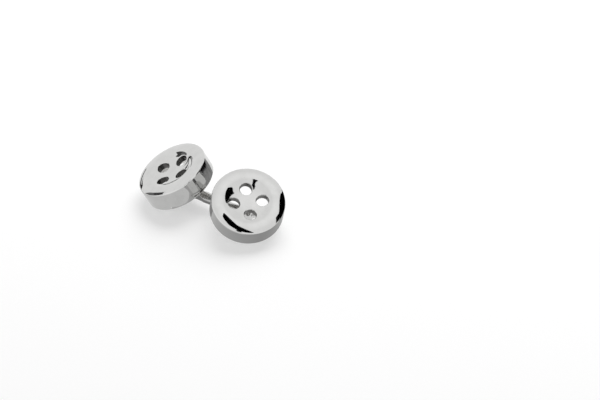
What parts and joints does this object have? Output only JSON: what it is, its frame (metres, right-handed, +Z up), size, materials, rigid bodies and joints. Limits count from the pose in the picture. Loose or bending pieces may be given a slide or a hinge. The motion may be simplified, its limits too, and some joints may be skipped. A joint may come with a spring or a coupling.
{
  "type": "cufflink",
  "caption": "Double-ended cufflink: polished round buttons with thread holes, hinged to the ends of a short bar so each can fold flat, pass a cuff's buttonholes and turn square to hold it shut.",
  "frame": {"origin": "on the table, under the middle of the resting cufflink's bounding box", "axes": "+X along the bar from the rear button to the front one, +Y across the bar, away from the side the buttons lean to, +Z up"},
  "size_m": [0.0332, 0.0154, 0.0105],
  "materials": {
    "button_steel": "mirror-polished stainless steel",
    "bar_steel": "polished stainless steel",
    "hinge_steel": "polished stainless steel",
    "pin_steel": "riveted and tumbled steel",
    "leaf_steel": "rolled spring steel"
  },
  "bodies": {
    "link": {"link_bar": "bar_steel"},
    "front_head": {"front_button": "button_steel", "front_clevis": "hinge_steel", "front_hinge_pin": "pin_steel", "front_tension_leaf": "leaf_steel"},
    "rear_head": {"rear_button": "button_steel", "rear_clevis": "hinge_steel", "rear_hinge_pin": "pin_steel", "rear_tension_leaf": "leaf_steel"}
  },
  "joints": [
    {"name": "front_hinge", "type": "hinge", "parent": "link", "child": "front_head", "pos_m": [0.0077, 0.00105, 0.00218], "axis": [0, 0.9457, 0.3251], "range_deg": [-20, 160]},
    {"name": "rear_hinge", "type": "hinge", "parent": "link", "child": "rear_head", "pos_m": [-0.0077, 0.00105, 0.00218], "axis": [0, -0.9457, -0.3251], "range_deg": [-20, 160]}
  ]
}
